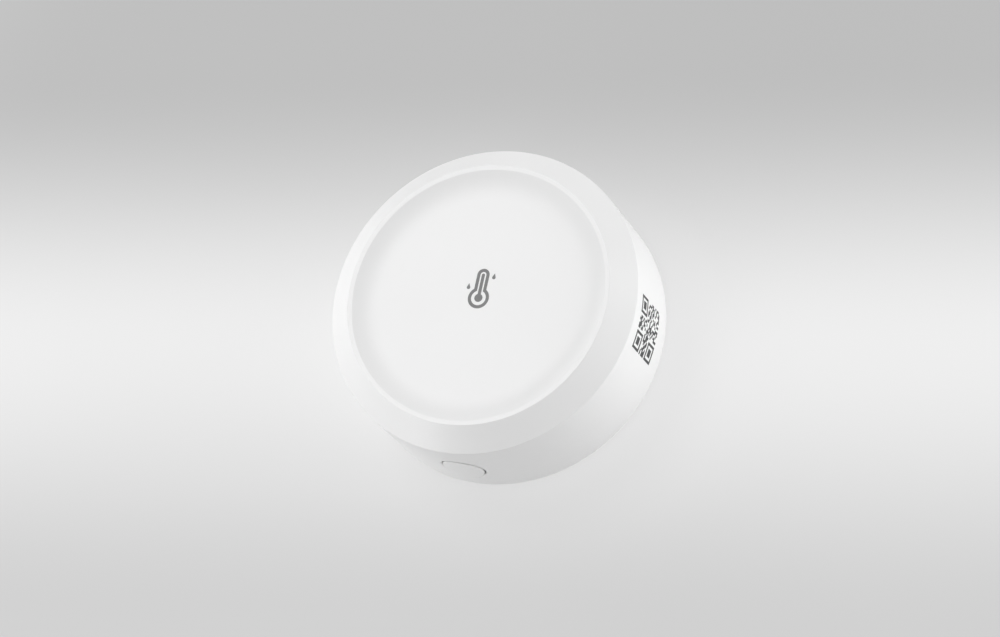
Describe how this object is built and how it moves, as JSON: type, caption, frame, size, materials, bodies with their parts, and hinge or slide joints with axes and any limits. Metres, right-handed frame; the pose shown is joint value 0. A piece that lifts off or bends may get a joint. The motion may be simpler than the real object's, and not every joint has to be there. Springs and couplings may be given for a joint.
{
  "type": "temperature and humidity sensor",
  "caption": "Round battery-powered temperature and humidity sensor with a dished front, sloped bezel, side button and a twist-off base for wall or table.",
  "frame": {"origin": "middle of the face that the sensor rests on, at the underside of the adhesive pad", "axes": "+Z out of the front, -Y through the middle of the button, +Y towards the vents"},
  "size_m": [0.055, 0.0551, 0.02],
  "materials": {
    "housing_white": "fine matt white moulding",
    "button_white": "fine matt white moulding",
    "base_white": "matt off-white moulding",
    "pad_foam": "pale foam tape",
    "tray_white": "matt off-white moulding",
    "screw_steel": "zinc-plated steel",
    "cell_metal": "satin nickel plate",
    "gasket_dark": "dark plastic seal",
    "contact_gold": "gold-plated spring strip",
    "board_green": "solder mask on glass laminate",
    "switch_black": "black moulding",
    "switch_metal": "bright stamped sheet",
    "pin_tin": "tinned wire",
    "plunger_grey": "dark grey moulding",
    "sensor_black": "moulded chip package",
    "filter_white": "white membrane",
    "module_blue": "blue solder mask",
    "shield_metal": "tinned sheet",
    "antenna_ceramic": "pale ceramic block",
    "led_clear": "pale clear lens",
    "crystal_metal": "plated lid",
    "chip_black": "moulded chip package",
    "capacitor_orange": "moulded block",
    "passive_tan": "small ceramic chips"
  },
  "bodies": {
    "base": {"mounting_base": "base_white", "adhesive_pad": "pad_foam"},
    "sensor": {"front_housing": "housing_white", "battery_tray": "tray_white", "tray_screws": "screw_steel", "coin_cell_can": "cell_metal", "coin_cell_gasket": "gasket_dark", "coin_cell_cap": "cell_metal", "positive_contact": "contact_gold", "negative_contact": "contact_gold", "main_board": "board_green", "switch_body": "switch_black", "switch_cover": "switch_metal", "switch_pins": "pin_tin", "humidity_sensor": "sensor_black", "sensor_filter": "filter_white", "radio_module": "module_blue", "shield_can": "shield_metal", "chip_antenna": "antenna_ceramic", "status_led": "led_clear", "crystal": "crystal_metal", "memory_chip": "chip_black", "buffer_capacitor": "capacitor_orange", "chip_passives": "passive_tan"},
    "button": {"button_cap": "button_white", "switch_plunger": "plunger_grey"}
  },
  "joints": [
    {"name": "twist_lock", "type": "hinge", "parent": "base", "child": "sensor", "pos_m": [0, 0, 0], "axis": [0, 0, 1], "range_deg": [0, 24]},
    {"name": "button_press", "type": "slide", "parent": "sensor", "child": "button", "axis": [0, 1, 0], "range_m": [0, 0.0005], "stiffness_N_per_m": 1200, "springref_m": -0.0006}
  ]
}
